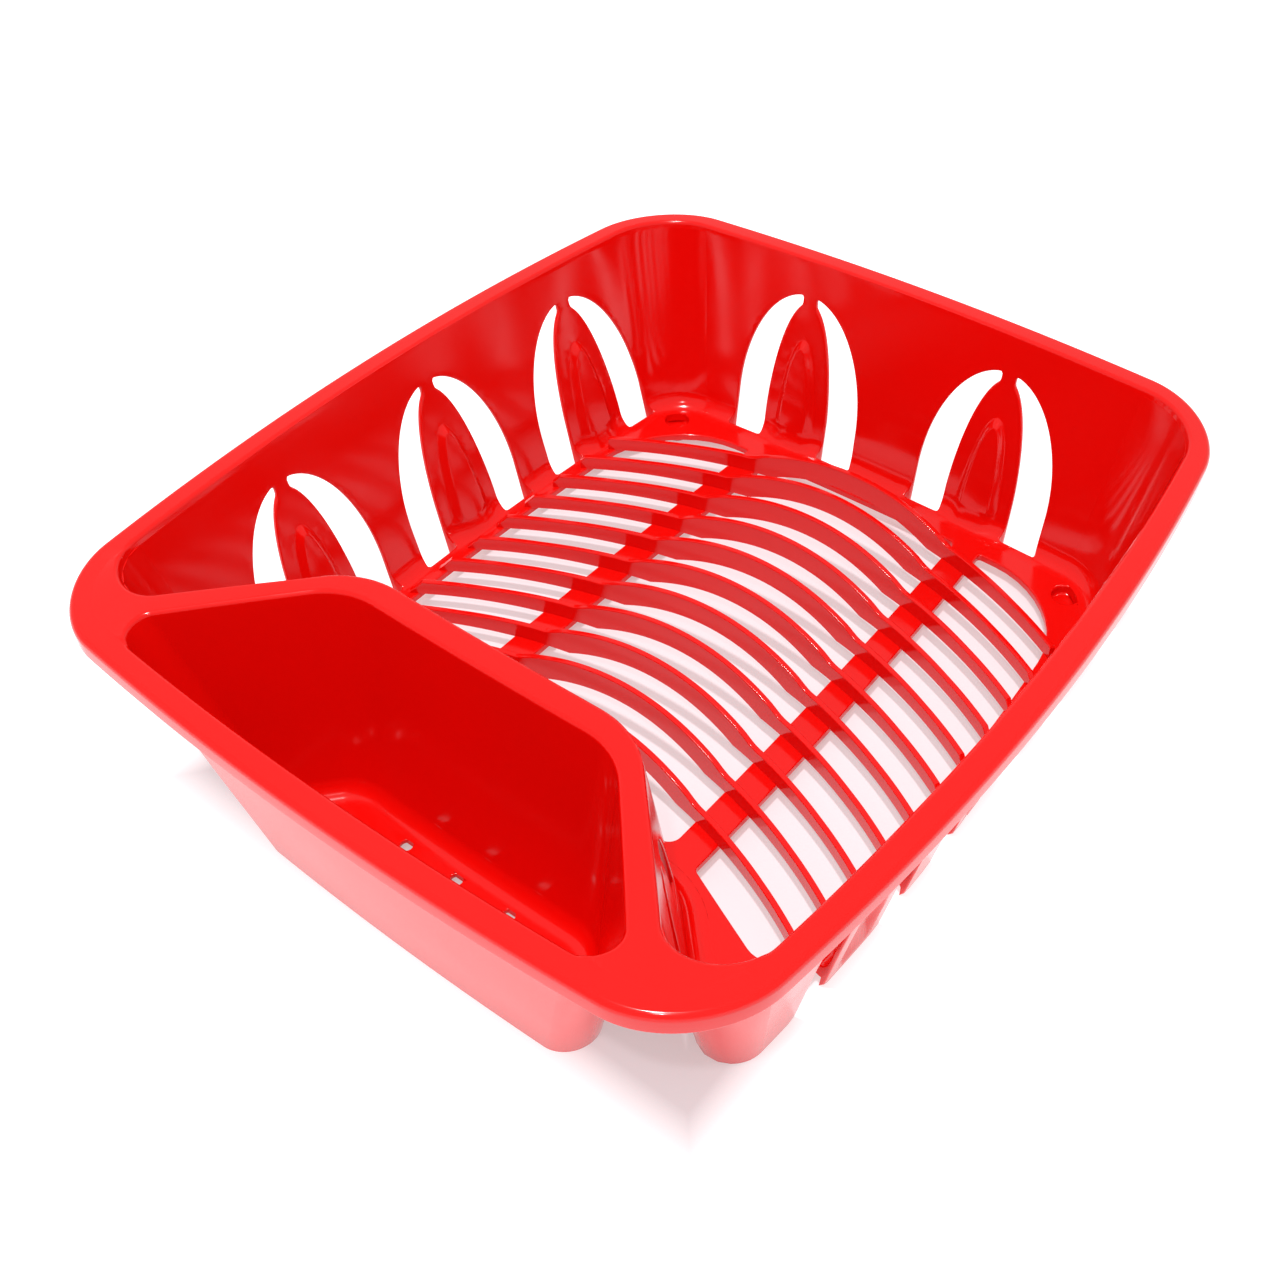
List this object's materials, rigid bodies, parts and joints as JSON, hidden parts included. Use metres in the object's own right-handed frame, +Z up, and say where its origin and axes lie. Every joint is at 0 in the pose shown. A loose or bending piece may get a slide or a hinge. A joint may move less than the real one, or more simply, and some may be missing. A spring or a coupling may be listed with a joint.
{
  "type": "dish drying rack",
  "caption": "Drafted plastic dish rack with an arched rib floor, pointed arch openings in its walls and a trapezoid cutlery pocket at one end.",
  "frame": {"origin": "bottom centre of the bounding box, on the plane the rack stands on", "axes": "+Z up, +X along the length from the cutlery pocket to the far end, +Y to the left side"},
  "size_m": [0.4134, 0.3568, 0.1155],
  "materials": {
    "red_plastic": "semi-gloss moulded polypropylene"
  },
  "bodies": {
    "root": {"rim_far": "red_plastic", "rim_left": "red_plastic", "rim_near": "red_plastic", "rim_right": "red_plastic", "rim_corner_far_left": "red_plastic", "rim_corner_near_left": "red_plastic", "rim_corner_near_right": "red_plastic", "rim_corner_far_right": "red_plastic", "web_left": "red_plastic", "web_right": "red_plastic", "bridge": "red_plastic", "wall_far": "red_plastic", "wall_left": "red_plastic", "wall_right": "red_plastic", "wall_divider": "red_plastic", "wall_diagonal_left": "red_plastic", "wall_diagonal_right": "red_plastic", "corner_far_left": "red_plastic", "corner_near_left": "red_plastic", "corner_near_right": "red_plastic", "corner_far_right": "red_plastic", "tongue_left_1": "red_plastic", "tongue_left_2": "red_plastic", "tongue_left_3": "red_plastic", "tongue_right_1": "red_plastic", "tongue_right_2": "red_plastic", "tongue_right_3": "red_plastic", "tongue_far_left": "red_plastic", "tongue_far_right": "red_plastic", "tongue_diagonal_left": "red_plastic", "tongue_diagonal_right": "red_plastic", "floor_plate": "red_plastic", "bar_left": "red_plastic", "bar_right": "red_plastic", "rib_01": "red_plastic", "rib_02": "red_plastic", "rib_03": "red_plastic", "rib_04": "red_plastic", "rib_05": "red_plastic", "rib_06": "red_plastic", "rib_07": "red_plastic", "rib_08": "red_plastic", "rib_09": "red_plastic", "rib_10": "red_plastic", "rib_11": "red_plastic", "foot_far_left": "red_plastic", "foot_far_right": "red_plastic", "foot_near_left": "red_plastic", "foot_near_right": "red_plastic", "pocket_wall_outer": "red_plastic", "pocket_wall_left": "red_plastic", "pocket_wall_right": "red_plastic", "pocket_wall_inner": "red_plastic", "pocket_floor_plate": "red_plastic"}
  },
  "joints": []
}
